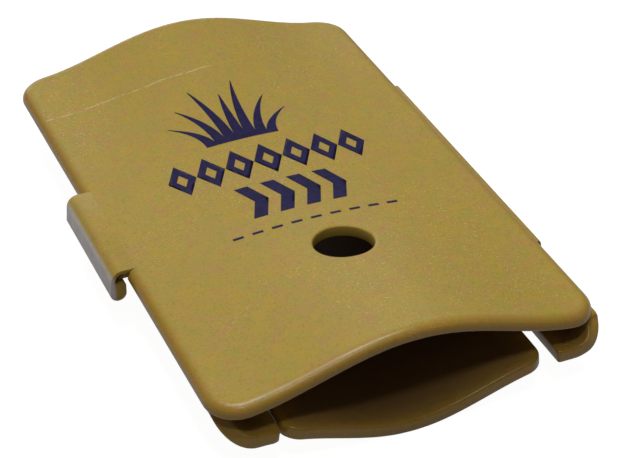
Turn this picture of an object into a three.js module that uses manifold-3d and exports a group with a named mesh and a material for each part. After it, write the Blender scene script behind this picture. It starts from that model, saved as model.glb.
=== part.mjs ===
// A pocket game call in moulded plastic, worked by biting and blowing.
//
// One flexible moulding makes nearly all of it: an arched cover and a dished base, joined along the
// right side by a film hinge and held shut on the left by a snap latch. Two slits free the front of
// the base as a tongue. A latex band stretched over the tongue is the reed, and air blown in at the
// front passes over it and leaves through the tone hole and the open rear end.
//
// Millimetres, +Z up, +Y towards the rear, -Y the mouth end. The origin is the middle of the flat land
// that the call rests on. Regions of the moulding that flex against each other are separate meshes,
// with a narrow gap where the plastic really runs on.

import * as THREE from "three";
import { mergeVertices } from "three/addons/utils/BufferGeometryUtils.js";
import Module from "manifold-3d";

// Overall size
const WIDTH = 38.1;
const LENGTH = 61;
const WALL = 1.3;
const CORNER_RADIUS = 3.3;
const BASE_RIGHT_CORNER = 1.5;
const SEAM_Z = 6.6;
const HALF_WIDTH = WIDTH / 2;
const FRONT_Y = -LENGTH / 2;

// Cover: an arch between flat side margins, low along the middle and flared up towards both ends
const COVER_RISE = 3.75;
const CROWN_RISE = 0.83;
const FLARE_FROM_Y = 3;
const FLARE_POWER = 1.5;
const COVER_ARCH_HALF = 18.2;
const TONE_HOLE_X = 0.7;
const TONE_HOLE_RADIUS = 2.9;
const TONE_HOLE_FROM_FRONT = 17.6;

// Base: a dish that mirrors the arch, between flat margins with upturned sides
const BASE_LEFT_X = -18.5;
const BASE_RIGHT_X = 19.1;
const BASE_DROP = 3.2;
const BASE_ARCH_HALF = 14.9;
const BASE_MARGIN_Z = 3.1;
const BASE_LEFT_RADIUS = 3.6;
const BASE_RIGHT_RADIUS = 3.1;

// Tongue: the front of the dish, freed by two slits
const TONGUE_HALF = 13.05;
const TONGUE_CENTRE_X = 0.25;
const TONGUE_CORNER = 1.8;
const SLIT_WIDTH = 0.5;
const SLIT_LENGTH = 15;

// Reed band, which lies around the tongue
const BAND_FROM_FRONT = 7;
const BAND_WIDTH = 7;
const BAND_THICKNESS = 0.3;
const BAND_GAP = 0.06;
const BAND_LOWER_INSET = 0.25;
const BAND_SEAT_SIDE_CLEARANCE = 0.3;

// Latch on the cover's left edge, and the ledge on the base that it hooks under
const LATCH_FROM_FRONT = 23.2;
const LATCH_LENGTH = 14;
const LATCH_ROOT_X = -18.2;
const LATCH_THICKNESS = 0.45;
const LATCH_SHOULDER_RADIUS = 1.2;
const LATCH_OUTER_X = -20.7;
const LATCH_SPLAY = 0.12;
const LATCH_BOTTOM_Z = 4.5;
const HOOK_TOP_Z = 6.35;
const HOOK_TIP_X = -19.2;
const LEDGE_UNDER_Z = 6.5;
const LEDGE_TOP_Z = 7.2;
const LEDGE_OUTER_X = -19.75;
const LEDGE_INNER_X = -17.7;
const LEDGE_END_CLEARANCE = 0.6;

// Film hinge along the right side
const HINGE_FROM_FRONT = 12.6;
const HINGE_LENGTH = 31.9;
const HINGE_THICKNESS = 0.4;
const HINGE_LOW_Z = 5.6;
const HINGE_HIGH_Z = 7.5;

// Gap where a region of the moulding runs on into the next, and round pieces that touch
const GAP = 0.3;
const HAIRLINE = 0.1;

// Reach of the cutting blocks past the call
const CUT_LOW_Z = -5;
const CUT_HIGH_Z = 20;
const OVERCUT = 1;

const ARCH_STEPS = 40;
const COVER_STEPS = 28;
const LENGTH_STEPS = 22;
const CORNER_STEPS = 8;
const HOLE_STEPS = 48;

const wasm = await Module();
wasm.setup();

// A closed three.js geometry as a solid that can be joined and cut.
function solidFrom(geometry) {
  const bare = geometry.clone();
  bare.deleteAttribute("normal");
  bare.deleteAttribute("uv");
  const merged = mergeVertices(bare, 1e-4);
  return new wasm.Manifold(
    new wasm.Mesh({
      numProp: 3,
      vertProperties: new Float32Array(merged.attributes.position.array),
      triVerts: new Uint32Array(merged.index.array),
    })
  );
}

function geometryFrom(solid) {
  const mesh = solid.getMesh();
  const geometry = new THREE.BufferGeometry();
  geometry.setAttribute("position", new THREE.BufferAttribute(mesh.vertProperties, 3));
  geometry.setIndex(new THREE.BufferAttribute(mesh.triVerts, 1));
  geometry.computeVertexNormals();
  return geometry;
}

// Height of the arch as a share of its rise: 1 on the centreline, easing to 0 at its foot.
function archShare(x, half) {
  if (Math.abs(x) >= half) {
    return 0;
  }
  return 0.5 + 0.5 * Math.cos((Math.PI * x) / half);
}

function archSlope(x, half) {
  if (Math.abs(x) >= half) {
    return 0;
  }
  return ((-0.5 * Math.PI) / half) * Math.sin((Math.PI * x) / half);
}

// Points of an arch z = base + rise * share from x = -reach to reach, moved off it along its normal.
function archLine(reach, half, base, rise, offset, steps = ARCH_STEPS) {
  const points = [];
  for (let i = 0; i <= steps; i++) {
    const x = -reach + (2 * reach * i) / steps;
    const slope = rise * archSlope(x, half);
    const size = Math.hypot(1, slope);
    const z = base + rise * archShare(x, half);
    points.push(new THREE.Vector2(x - (offset * slope) / size, z + offset / size));
  }
  return points;
}

function arcPoints(centerX, centerZ, radius, fromDegrees, toDegrees) {
  const points = [];
  for (let i = 0; i <= CORNER_STEPS; i++) {
    const turn = THREE.MathUtils.degToRad(fromDegrees + ((toDegrees - fromDegrees) * i) / CORNER_STEPS);
    points.push(new THREE.Vector2(centerX + radius * Math.cos(turn), centerZ + radius * Math.sin(turn)));
  }
  return points;
}

// A section drawn in X and Z, made solid along Y between the two distances from the front edge.
function alongLength(points, fromFront, length) {
  const shape = new THREE.Shape(points.map((p) => new THREE.Vector2(p.x, p.y)));
  const geometry = new THREE.ExtrudeGeometry(shape, { depth: length, bevelEnabled: false });
  geometry.rotateX(Math.PI / 2);
  geometry.translate(0, FRONT_Y + fromFront + length, 0);
  return solidFrom(geometry);
}

// A plan outline, made solid upwards between two heights.
function upright(shape, lowZ, highZ) {
  const geometry = new THREE.ExtrudeGeometry(shape, {
    depth: highZ - lowZ,
    bevelEnabled: false,
    curveSegments: CORNER_STEPS,
  });
  geometry.translate(0, 0, lowZ);
  return solidFrom(geometry);
}

function block(lowX, highX, fromFront, length, lowZ, highZ) {
  const geometry = new THREE.BoxGeometry(highX - lowX, length, highZ - lowZ);
  geometry.translate((lowX + highX) / 2, FRONT_Y + fromFront + length / 2, (lowZ + highZ) / 2);
  return solidFrom(geometry);
}

// The rounded rectangle that trims a half of the call, seen from above. Its left corners are always
// the same, and its right corners have the radius given.
function planOutline(left, right, rightRadius) {
  const shape = new THREE.Shape();
  const rear = LENGTH / 2;
  const r = CORNER_RADIUS;
  const rr = rightRadius;
  shape.moveTo(left + r, -rear);
  shape.lineTo(right - rr, -rear);
  shape.absarc(right - rr, -rear + rr, rr, -Math.PI / 2, 0, false);
  shape.lineTo(right, rear - rr);
  shape.absarc(right - rr, rear - rr, rr, 0, Math.PI / 2, false);
  shape.lineTo(left + r, rear);
  shape.absarc(left + r, rear - r, r, Math.PI / 2, Math.PI, false);
  shape.lineTo(left, -rear + r);
  shape.absarc(left + r, -rear + r, r, Math.PI, 1.5 * Math.PI, false);
  return shape;
}

function trimmedToPlan(solid, left, right, rightRadius) {
  return solid.intersect(upright(planOutline(left, right, rightRadius), CUT_LOW_Z, CUT_HIGH_Z));
}

// Rise of the cover's arch at a place along the call.
function coverRise(y) {
  const share = (Math.abs(y) - FLARE_FROM_Y) / (LENGTH / 2 - FLARE_FROM_Y);
  return CROWN_RISE + (COVER_RISE - CROWN_RISE) * Math.max(0, share) ** FLARE_POWER;
}

// The cover's plate before it is cut: arch sections lofted from the front to the rear.
function coverPlate() {
  const positions = [];
  const faces = [];
  const row = COVER_STEPS + 1;
  for (let j = 0; j <= LENGTH_STEPS; j++) {
    const y = FRONT_Y + (LENGTH * j) / LENGTH_STEPS;
    const rise = coverRise(y);
    for (const offset of [0, WALL]) {
      for (const p of archLine(HALF_WIDTH, COVER_ARCH_HALF, SEAM_Z, rise, offset, COVER_STEPS)) {
        positions.push(p.x, y, p.y);
      }
    }
  }
  const quad = (a, b, c, d) => faces.push(a, b, c, a, c, d);
  for (let j = 0; j < LENGTH_STEPS; j++) {
    const under = 2 * row * j;
    const over = under + row;
    const step = 2 * row;
    for (let i = 0; i < COVER_STEPS; i++) {
      quad(under + i, under + step + i, under + step + i + 1, under + i + 1);
      quad(over + i, over + i + 1, over + step + i + 1, over + step + i);
    }
    quad(under, over, over + step, under + step);
    const last = COVER_STEPS;
    quad(under + last, under + step + last, over + step + last, over + last);
  }
  const rear = 2 * row * LENGTH_STEPS;
  for (let i = 0; i < COVER_STEPS; i++) {
    quad(i, i + 1, row + i + 1, row + i);
    quad(rear + i, rear + row + i, rear + row + i + 1, rear + i + 1);
  }
  const geometry = new THREE.BufferGeometry();
  geometry.setAttribute("position", new THREE.Float32BufferAttribute(positions, 3));
  geometry.setIndex(faces);
  return solidFrom(geometry);
}

// The arched cover, with the tone hole, the notch in its left edge that the latch grows from, and the
// recess beside the notch that makes room for the catch ledge.
function coverSolid() {
  const hole = new THREE.CylinderGeometry(TONE_HOLE_RADIUS, TONE_HOLE_RADIUS, CUT_HIGH_Z, HOLE_STEPS);
  hole.rotateX(Math.PI / 2);
  hole.translate(TONE_HOLE_X, FRONT_Y + TONE_HOLE_FROM_FRONT, SEAM_Z);
  const notch = block(
    -WIDTH,
    LATCH_ROOT_X,
    LATCH_FROM_FRONT - GAP,
    LATCH_LENGTH + 2 * GAP,
    SEAM_Z - WALL,
    SEAM_Z + 2 * WALL
  );
  const recess = block(
    -WIDTH,
    LEDGE_INNER_X + GAP,
    LATCH_FROM_FRONT,
    LATCH_LENGTH,
    SEAM_Z - WALL,
    SEAM_Z + WALL - LATCH_THICKNESS
  );
  const plate = trimmedToPlan(coverPlate(), -HALF_WIDTH, HALF_WIDTH, CORNER_RADIUS);
  return plate.subtract(solidFrom(hole)).subtract(notch).subtract(recess);
}

// The dish and its upturned sides in one section, before the tongue is freed.
function baseSection() {
  const leftX = BASE_LEFT_X + BASE_LEFT_RADIUS;
  const leftZ = BASE_MARGIN_Z + BASE_LEFT_RADIUS;
  const rightX = BASE_RIGHT_X - BASE_RIGHT_RADIUS;
  const rightZ = BASE_MARGIN_Z + BASE_RIGHT_RADIUS;
  const under = archLine(BASE_ARCH_HALF, BASE_ARCH_HALF, BASE_MARGIN_Z, -BASE_DROP, 0);
  const over = archLine(BASE_ARCH_HALF, BASE_ARCH_HALF, BASE_MARGIN_Z, -BASE_DROP, WALL);
  return [
    ...under,
    ...arcPoints(rightX, rightZ, BASE_RIGHT_RADIUS, -90, 0),
    new THREE.Vector2(BASE_RIGHT_X, SEAM_Z + WALL),
    new THREE.Vector2(BASE_RIGHT_X - WALL, SEAM_Z + WALL),
    ...arcPoints(rightX, rightZ, BASE_RIGHT_RADIUS - WALL, 0, -90),
    ...over.reverse().slice(0, -1),
    ...arcPoints(leftX, leftZ, BASE_LEFT_RADIUS - WALL, -90, -180),
    new THREE.Vector2(BASE_LEFT_X + WALL, SEAM_Z + WALL),
    new THREE.Vector2(BASE_LEFT_X, SEAM_Z + WALL),
    ...arcPoints(leftX, leftZ, BASE_LEFT_RADIUS, -180, -90).slice(0, -1),
  ];
}

// The whole base before the slits. Its sides stop just under the cover, and its crest is cut flat at
// z = 0, so that the call rests on it.
function wholeBase() {
  const dish = alongLength(baseSection(), 0, LENGTH);
  const aboveSides = block(-WIDTH, WIDTH, -OVERCUT, LENGTH + 2 * OVERCUT, SEAM_Z - GAP, CUT_HIGH_Z);
  const belowLand = block(-WIDTH, WIDTH, -OVERCUT, LENGTH + 2 * OVERCUT, CUT_LOW_Z, 0);
  const trimmed = trimmedToPlan(dish, BASE_LEFT_X, BASE_RIGHT_X, BASE_RIGHT_CORNER);
  return trimmed.subtract(aboveSides).subtract(belowLand);
}

// Plan of the tongue, grown sideways and backwards by a margin.
function tonguePlan(margin) {
  const left = TONGUE_CENTRE_X - TONGUE_HALF - margin;
  const right = TONGUE_CENTRE_X + TONGUE_HALF + margin;
  const rear = FRONT_Y + SLIT_LENGTH + margin;
  const shape = new THREE.Shape();
  const corner = TONGUE_CORNER;
  if (margin > 0) {
    shape.moveTo(left, FRONT_Y - OVERCUT);
    shape.lineTo(right, FRONT_Y - OVERCUT);
  } else {
    shape.moveTo(left + corner, FRONT_Y);
    shape.lineTo(right - corner, FRONT_Y);
    shape.absarc(right - corner, FRONT_Y + corner, corner, -Math.PI / 2, 0, false);
  }
  shape.lineTo(right, rear);
  shape.lineTo(left, rear);
  if (margin > 0) {
    shape.lineTo(left, FRONT_Y - OVERCUT);
  } else {
    shape.absarc(left + corner, FRONT_Y + corner, corner, Math.PI, 1.5 * Math.PI, false);
  }
  return shape;
}

// Material under the tongue that the band's lower run replaces, so that it stays above the land.
function bandSeat() {
  const depth = BAND_LOWER_INSET + BAND_THICKNESS + BAND_GAP;
  const reach = TONGUE_HALF + OVERCUT;
  const outside = archLine(reach, BASE_ARCH_HALF, BASE_MARGIN_Z, -BASE_DROP, depth);
  const section = [new THREE.Vector2(-reach, CUT_LOW_Z), new THREE.Vector2(reach, CUT_LOW_Z)];
  section.push(...outside.reverse());
  const fromFront = BAND_FROM_FRONT - BAND_SEAT_SIDE_CLEARANCE;
  return alongLength(section, fromFront, BAND_WIDTH + 2 * BAND_SEAT_SIDE_CLEARANCE);
}

function tongueSolid() {
  return wholeBase().intersect(upright(tonguePlan(0), CUT_LOW_Z, SEAM_Z)).subtract(bandSeat());
}

// The base without the tongue, and with the catch ledge on its left side.
function baseSolid() {
  const freed = wholeBase().subtract(upright(tonguePlan(SLIT_WIDTH), CUT_LOW_Z, SEAM_Z));
  const heel = block(
    TONGUE_CENTRE_X - TONGUE_HALF,
    TONGUE_CENTRE_X + TONGUE_HALF,
    SLIT_LENGTH + GAP,
    SLIT_WIDTH,
    CUT_LOW_Z,
    SEAM_Z
  ).intersect(wholeBase());
  const wallTopZ = SEAM_Z - GAP;
  const wallInnerX = BASE_LEFT_X + WALL;
  const ledgeSection = [
    new THREE.Vector2(wallInnerX, wallTopZ),
    new THREE.Vector2(LEDGE_INNER_X, wallTopZ),
    new THREE.Vector2(LEDGE_INNER_X, LEDGE_TOP_Z),
    new THREE.Vector2(-HALF_WIDTH, LEDGE_TOP_Z),
    new THREE.Vector2(LEDGE_OUTER_X, LEDGE_UNDER_Z + HAIRLINE),
    new THREE.Vector2(LEDGE_OUTER_X, LEDGE_UNDER_Z),
    new THREE.Vector2(BASE_LEFT_X, LEDGE_UNDER_Z),
    new THREE.Vector2(BASE_LEFT_X + HAIRLINE, wallTopZ - GAP),
    new THREE.Vector2(wallInnerX, wallTopZ - GAP),
  ];
  const ledge = alongLength(
    ledgeSection,
    LATCH_FROM_FRONT + LEDGE_END_CLEARANCE,
    LATCH_LENGTH - 2 * LEDGE_END_CLEARANCE
  );
  return freed.add(heel).add(ledge);
}

// A thin arm that leaves the cover's top flush, turns down over a rounded shoulder and ends in a hook.
function latchSolid() {
  const topZ = SEAM_Z + WALL;
  const shoulderX = LATCH_OUTER_X + LATCH_SHOULDER_RADIUS;
  const shoulderZ = topZ - LATCH_SHOULDER_RADIUS;
  const footRadius = (HOOK_TIP_X - LATCH_OUTER_X + LATCH_SPLAY) / 2;
  const footX = (LATCH_OUTER_X - LATCH_SPLAY + HOOK_TIP_X) / 2;
  const footZ = LATCH_BOTTOM_Z + footRadius;
  const section = [
    new THREE.Vector2(LATCH_ROOT_X - GAP / 2, topZ),
    ...arcPoints(shoulderX, shoulderZ, LATCH_SHOULDER_RADIUS, 90, 180),
    ...arcPoints(footX, footZ, footRadius, 180, 360),
    new THREE.Vector2(HOOK_TIP_X, HOOK_TOP_Z - HAIRLINE),
    new THREE.Vector2(HOOK_TIP_X - HAIRLINE, HOOK_TOP_Z),
    new THREE.Vector2(LATCH_OUTER_X + LATCH_THICKNESS, HOOK_TOP_Z),
    ...arcPoints(shoulderX, shoulderZ, LATCH_SHOULDER_RADIUS - LATCH_THICKNESS, 180, 90),
    new THREE.Vector2(LATCH_ROOT_X - GAP / 2, topZ - LATCH_THICKNESS),
  ];
  return alongLength(section, LATCH_FROM_FRONT, LATCH_LENGTH);
}

// The film of plastic that joins the two right edges, bowed out a little as it is when shut.
function hingeSolid() {
  const innerX = BASE_RIGHT_X + HAIRLINE;
  const outerX = innerX + HINGE_THICKNESS;
  const ease = HINGE_THICKNESS / 2;
  const section = [
    new THREE.Vector2(innerX, HINGE_LOW_Z),
    new THREE.Vector2(outerX - ease, HINGE_LOW_Z),
    new THREE.Vector2(outerX, HINGE_LOW_Z + ease),
    new THREE.Vector2(outerX, HINGE_HIGH_Z - ease),
    new THREE.Vector2(outerX - ease, HINGE_HIGH_Z),
    new THREE.Vector2(innerX, HINGE_HIGH_Z),
  ];
  return alongLength(section, HINGE_FROM_FRONT, HINGE_LENGTH);
}

// The latex loop: a taut upper run straight across the dish, and a lower run in its seat underneath.
function bandSolid() {
  const leftX = TONGUE_CENTRE_X - TONGUE_HALF - BAND_GAP;
  const rightX = TONGUE_CENTRE_X + TONGUE_HALF + BAND_GAP;
  const runZ = BASE_MARGIN_Z + WALL + BAND_GAP;
  const insideTongue = (p) => p.x > leftX && p.x < rightX;
  const reach = TONGUE_HALF + OVERCUT;
  const lowerRun = (offset) =>
    archLine(reach, BASE_ARCH_HALF, BASE_MARGIN_Z, -BASE_DROP, offset).filter(insideTongue);
  const outside = lowerRun(BAND_LOWER_INSET);
  const inside = lowerRun(BAND_LOWER_INSET + BAND_THICKNESS);
  const sideZ = (x) => BASE_MARGIN_Z - BASE_DROP * archShare(x, BASE_ARCH_HALF) + BAND_LOWER_INSET;
  const outer = [
    new THREE.Vector2(leftX - BAND_THICKNESS, sideZ(leftX)),
    ...outside,
    new THREE.Vector2(rightX + BAND_THICKNESS, sideZ(rightX)),
    new THREE.Vector2(rightX + BAND_THICKNESS, runZ + BAND_THICKNESS),
    new THREE.Vector2(leftX - BAND_THICKNESS, runZ + BAND_THICKNESS),
  ];
  const inner = [
    new THREE.Vector2(leftX, sideZ(leftX) + BAND_THICKNESS),
    ...inside,
    new THREE.Vector2(rightX, sideZ(rightX) + BAND_THICKNESS),
    new THREE.Vector2(rightX, runZ),
    new THREE.Vector2(leftX, runZ),
  ];
  const filled = alongLength(outer, BAND_FROM_FRONT, BAND_WIDTH);
  const hollow = alongLength(inner, BAND_FROM_FRONT - OVERCUT, BAND_WIDTH + 2 * OVERCUT);
  return filled.subtract(hollow);
}

const tanPlastic = { color: 0xb08f4e, roughness: 0.42, metalness: 0 };
const latex = { color: 0xc9a873, roughness: 0.5, metalness: 0 };

function piece(name, solid, look) {
  const mesh = new THREE.Mesh(geometryFrom(solid), new THREE.MeshStandardMaterial(look));
  mesh.name = name;
  return mesh;
}

const gameCall = new THREE.Group();

const lowerHalf = new THREE.Group();
lowerHalf.add(piece("base_tray", baseSolid(), tanPlastic));
lowerHalf.add(piece("tongue", tongueSolid(), tanPlastic));
lowerHalf.add(piece("reed_band", bandSolid(), latex));

const upperHalf = new THREE.Group();
upperHalf.add(piece("cover", coverSolid(), tanPlastic));
upperHalf.add(piece("latch_arm", latchSolid(), tanPlastic));

gameCall.add(lowerHalf, upperHalf);
gameCall.add(piece("film_hinge", hingeSolid(), tanPlastic));

export default gameCall;
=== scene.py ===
import math

import bmesh
import bpy
import numpy as np
from mathutils import Matrix, Vector
from mathutils.geometry import delaunay_2d_cdt


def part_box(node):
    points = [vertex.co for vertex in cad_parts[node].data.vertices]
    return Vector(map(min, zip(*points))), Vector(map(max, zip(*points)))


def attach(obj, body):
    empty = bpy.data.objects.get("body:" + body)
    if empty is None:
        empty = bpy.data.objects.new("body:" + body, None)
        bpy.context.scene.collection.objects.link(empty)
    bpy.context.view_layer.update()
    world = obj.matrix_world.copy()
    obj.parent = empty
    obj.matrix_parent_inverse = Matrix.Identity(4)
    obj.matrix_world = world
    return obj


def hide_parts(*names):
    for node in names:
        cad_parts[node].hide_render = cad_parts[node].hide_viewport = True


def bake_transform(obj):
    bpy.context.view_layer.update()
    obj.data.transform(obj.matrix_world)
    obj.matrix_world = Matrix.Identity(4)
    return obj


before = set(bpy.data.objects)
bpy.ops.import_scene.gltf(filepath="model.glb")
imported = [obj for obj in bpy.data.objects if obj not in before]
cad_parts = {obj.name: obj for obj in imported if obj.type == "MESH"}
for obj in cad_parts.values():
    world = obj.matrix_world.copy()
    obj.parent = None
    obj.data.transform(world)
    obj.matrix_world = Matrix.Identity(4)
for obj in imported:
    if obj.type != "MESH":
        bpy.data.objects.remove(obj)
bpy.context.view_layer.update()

# All lengths below are millimetres in the row frame: +X towards the film hinge, +Y towards the
# rear, +Z up, with the underside's flat land at z = 0. Meshes are written in metres.
MM = 0.001


def box_mm(node):
    low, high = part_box(node)
    return [v / MM for v in low], [v / MM for v in high]


# Driving sizes taken from the frame
COVER_LOW, COVER_HIGH = box_mm("cover")
BASE_HIGH = box_mm("base_tray")[1]
TONGUE_LOW, TONGUE_HIGH = box_mm("tongue")
BAND_LOW, BAND_HIGH = box_mm("reed_band")
LATCH_LOW, LATCH_HIGH = box_mm("latch_arm")
HINGE_LOW, HINGE_HIGH = box_mm("film_hinge")

SEAM_Z = COVER_LOW[2]
HALF_WIDTH = COVER_HIGH[0]
HALF_LENGTH = COVER_HIGH[1]
FRONT_Y = -HALF_LENGTH

# Wall and arches
WALL = 1.3
COVER_RISE = COVER_HIGH[2] - SEAM_Z - WALL
CROWN_RISE = 0.83
FLARE_FROM_Y = 3.0
FLARE_POWER = 1.5
COVER_ARCH_HALF = 18.2
PLAN_CORNER = 3.3
BASE_RIGHT_CORNER = 1.5
BASE_LEFT = -18.65
BASE_RIGHT = BASE_HIGH[0] + 0.2
BASE_MARGIN_Z = 3.1
BASE_DROP = 3.2
BASE_ARCH_HALF = 14.9
BASE_LEFT_RADIUS = 3.6
BASE_RIGHT_RADIUS = 3.1
BASE_WALL_TOP = SEAM_Z - 0.08

# Edge roundings
COVER_TOP_ROUND = 1.0
COVER_UNDER_ROUND = 0.2
HOLE_ROUND = 0.22
TRAY_ROUND = 0.3
TRAY_UNDER_ROUND = 0.18
SLIT_ROUND = 0.15
TONGUE_ROUND = 0.42
TONGUE_UNDER_ROUND = 0.2

# Openings and cuts
HOLE_X = 0.7
HOLE_Y = -12.9
HOLE_RADIUS = 2.9
LATCH_ROOT_X = -18.2
LATCH_FIT = 0.02
RECESS_X = -17.4
RECESS_CEILING = 0.85
ROOT_Y = -15.35
SLIT_END_Y = -15.05
LEFT_SLIT = 0.32
LEFT_SLIT_AT_BAND = 0.66
LEFT_SLIT_WIDENS_Y = (-25.6, -24.2)
RIGHT_SLIT = 1.25
LEFT_FLAP_CORNER = 0.45
TONGUE_CORNER = 1.8
SEAT_DEPTH = 0.61
SEAT_MARGIN = 0.3

# Mesh steps
EDGE_STEP = 0.42
GRID_STEP = 0.85
ROUND_ANGLES = (18, 36, 54, 72, 90)
CREASE_DEGREES = 38


# ---------------------------------------------------------------- surfaces

def arch_share(x, half):
    x = np.asarray(x, float)
    return np.where(np.abs(x) < half, 0.5 + 0.5 * np.cos(np.pi * x / half), 0.0)


def arch_slope(x, half):
    x = np.asarray(x, float)
    return np.where(np.abs(x) < half, -0.5 * np.pi / half * np.sin(np.pi * x / half), 0.0)


def cover_rise(y):
    """Rise of the cover's arch: a low crown in the middle, flared up towards both ends."""
    share = np.clip((np.abs(y) - FLARE_FROM_Y) / (HALF_LENGTH - FLARE_FROM_Y), 0, 1)
    return CROWN_RISE + (COVER_RISE - CROWN_RISE) * share ** FLARE_POWER


def on_cover(x, y, offset):
    """A point of the cover, offset from its underside along the arch's normal."""
    rise = cover_rise(y)
    slope = rise * arch_slope(x, COVER_ARCH_HALF)
    size = np.hypot(1, slope)
    z = SEAM_Z + rise * arch_share(x, COVER_ARCH_HALF)
    return np.stack([x - offset * slope / size, y, z + offset / size], -1)


def base_section():
    """Outside line of the base, from the top of its left side down, across and up to the right."""
    rows = []
    left_x = BASE_LEFT + BASE_LEFT_RADIUS
    left_z = BASE_MARGIN_Z + BASE_LEFT_RADIUS
    right_x = BASE_RIGHT - BASE_RIGHT_RADIUS
    right_z = BASE_MARGIN_Z + BASE_RIGHT_RADIUS
    turn_left = math.acos(min(1.0, (BASE_WALL_TOP - left_z) / BASE_LEFT_RADIUS)) - math.pi / 2
    for angle in np.linspace(math.pi + turn_left if turn_left > 0 else math.pi, 1.5 * math.pi, 30):
        rows.append((left_x + BASE_LEFT_RADIUS * math.cos(angle),
                     left_z + BASE_LEFT_RADIUS * math.sin(angle),
                     -math.cos(angle), -math.sin(angle)))
    for x in np.linspace(left_x, right_x, 240)[1:-1]:
        slope = float(-BASE_DROP * arch_slope(x, BASE_ARCH_HALF))
        size = math.hypot(1, slope)
        z = float(BASE_MARGIN_Z - BASE_DROP * arch_share(x, BASE_ARCH_HALF))
        rows.append((x, z, -slope / size, 1 / size))
    for angle in np.linspace(1.5 * math.pi, 2 * math.pi, 30):
        rows.append((right_x + BASE_RIGHT_RADIUS * math.cos(angle),
                     right_z + BASE_RIGHT_RADIUS * math.sin(angle), -math.cos(angle), -math.sin(angle)))
    if BASE_WALL_TOP > right_z:
        rows.append((BASE_RIGHT, BASE_WALL_TOP, -1.0, 0.0))
    table = np.array(rows)
    run = np.hypot(np.diff(table[:, 0]), np.diff(table[:, 1]))
    return np.concatenate([[0], np.cumsum(run)]), table


SECTION_S, SECTION = base_section()
SECTION_END = float(SECTION_S[-1])


def on_base(s, y, offset):
    """A point of the base, s along its outside line, offset inwards along the line's normal."""
    x, z, nx, nz = (np.interp(s, SECTION_S, SECTION[:, k]) for k in range(4))
    size = np.hypot(nx, nz)
    z = z + offset * nz / size
    return np.stack([x + offset * nx / size, y, np.maximum(z, 0)], -1)


def s_at(x):
    """Distance along the base's outside line where it reaches that x."""
    return float(np.interp(x, SECTION[:, 0], SECTION_S))


def base_end_y(s):
    """How far forward and back the base reaches at s: its plan is a rounded rectangle."""
    x = float(np.interp(s, SECTION_S, SECTION[:, 0]))
    if x < 0:
        r, inset = PLAN_CORNER, BASE_LEFT + PLAN_CORNER - x
    else:
        r, inset = BASE_RIGHT_CORNER, x - (BASE_RIGHT - BASE_RIGHT_CORNER)
    inset = min(max(inset, 0), r)
    return HALF_LENGTH - r + math.sqrt(r ** 2 - inset ** 2)


# ---------------------------------------------------------------- plates

class Edge:
    """A stretch of a plate's outline, with the radius of its upper and its under rounding, and whether
    painted rim shade and smoother wear follow it.
    """

    def __init__(self, points, upper=0.0, under=0.0, gap=EDGE_STEP, shaded_and_worn=True):
        self.points = resampled(points, gap)
        self.upper = upper
        self.under = under
        self.shaded_and_worn = shaded_and_worn and upper > 0


def resampled(points, gap):
    points = np.array(points, float)
    run = np.concatenate([[0], np.cumsum(np.hypot(*np.diff(points, axis=0).T))])
    count = max(1, math.ceil(run[-1] / gap))
    where = np.linspace(0, run[-1], count + 1)
    return np.stack([np.interp(where, run, points[:, k]) for k in range(2)], 1)


def arc(cx, cy, radius, start, stop, count=16):
    turns = np.radians(np.linspace(start, stop, count))
    return [(cx + radius * math.cos(t), cy + radius * math.sin(t)) for t in turns]


def distance_to(points, line):
    """Distance from each point to a polyline."""
    a, b = line[:-1], line[1:]
    d = b - a
    length = np.maximum((d ** 2).sum(1), 1e-12)
    best = np.full(len(points), 1e9)
    for k in range(0, len(points), 2000):
        p = points[k:k + 2000, None, :]
        t = np.clip(((p - a) * d).sum(2) / length, 0, 1)
        gap = p - (a + t[..., None] * d)
        best[k:k + 2000] = np.sqrt((gap ** 2).sum(2)).min(1)
    return best


def inside(points, loop):
    """True for each point inside a closed loop, by the crossing count."""
    a, b = loop, np.roll(loop, -1, axis=0)
    hit = np.zeros(len(points), bool)
    for k in range(len(a)):
        (x0, y0), (x1, y1) = a[k], b[k]
        spans = (y0 > points[:, 1]) != (y1 > points[:, 1])
        with np.errstate(divide="ignore", invalid="ignore"):
            cross = x0 + (points[:, 1] - y0) / (y1 - y0) * (x1 - x0)
        hit ^= spans & (points[:, 0] < cross)
    return hit


def ring_depths(radius):
    return [radius * (1 - math.cos(math.radians(a))) for a in ROUND_ANGLES]


def inset_points(loop, radii):
    """Candidate points inside a loop, at depths that follow the roundings of its edges."""
    ahead = np.roll(loop, -1, axis=0) - loop
    behind = loop - np.roll(loop, 1, axis=0)
    tangent = ahead / np.linalg.norm(ahead, axis=1)[:, None]
    tangent = tangent + behind / np.linalg.norm(behind, axis=1)[:, None]
    tangent /= np.maximum(np.linalg.norm(tangent, axis=1), 1e-9)[:, None]
    normal = np.stack([-tangent[:, 1], tangent[:, 0]], 1)
    points, depths = [], []
    for k in range(len(loop)):
        wanted = set()
        for radius in radii[k]:
            if radius > 0:
                wanted.update(round(d, 4) for d in ring_depths(radius))
        deepest = max(radii[k])
        wanted.add(round(deepest + 0.3, 4))
        last = 0
        for depth in sorted(wanted):
            if depth - last > 0.018:
                points.append(loop[k] + normal[k] * depth)
                depths.append(depth)
                last = depth
    return np.array(points), np.array(depths)


def grid_points(loop, step):
    low, high = loop.min(0), loop.max(0)
    rows = []
    height = step * math.sqrt(3) / 2
    for j in range(int((high[1] - low[1]) / height) + 1):
        shift = 0.5 * step if j % 2 else 0.0
        for i in range(int((high[0] - low[0]) / step) + 1):
            rows.append((low[0] + i * step + shift, low[1] + (j + 0.5) * height))
    return np.array(rows)


def round_offset(depth, radius):
    """How far a rounded edge has dropped, at that depth inside the outline."""
    if radius <= 0:
        return np.zeros(len(depth))
    short = radius - np.minimum(depth, radius)
    return radius - np.sqrt(np.maximum(radius ** 2 - short ** 2, 0))


def outline_of(edges):
    return np.concatenate([e.points[:-1] for e in edges])


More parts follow.
